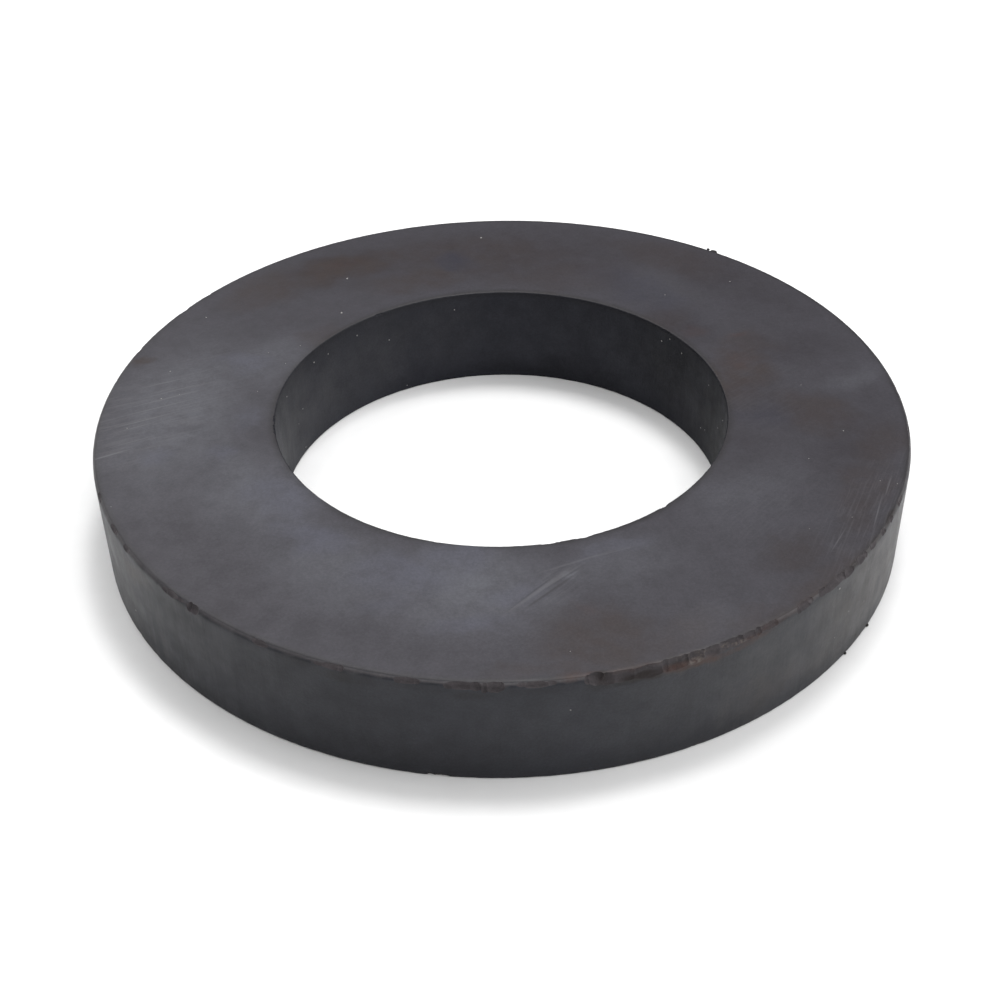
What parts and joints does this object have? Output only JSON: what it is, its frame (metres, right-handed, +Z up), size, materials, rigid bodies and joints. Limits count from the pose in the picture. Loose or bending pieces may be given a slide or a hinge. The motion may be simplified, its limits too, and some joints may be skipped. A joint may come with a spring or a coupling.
{
  "type": "ring magnet",
  "caption": "Flat round magnet: a ring of dark grey sintered ferrite with ground faces, a wide plain bore and chipped rims.",
  "frame": {"origin": "centre of the ring's axis on the lower ground face, which rests on the surface", "axes": "+Z up along the axis of the bore; +Y away from the front, -Y towards the flaked front rim"},
  "size_m": [0.08, 0.08, 0.0109],
  "materials": {
    "ferrite": "ground matt faces with faint brown and blue stains, dull as-pressed walls, rims chipped to a lighter worn edge"
  },
  "bodies": {
    "root": {"ring_magnet": "ferrite"}
  },
  "joints": []
}
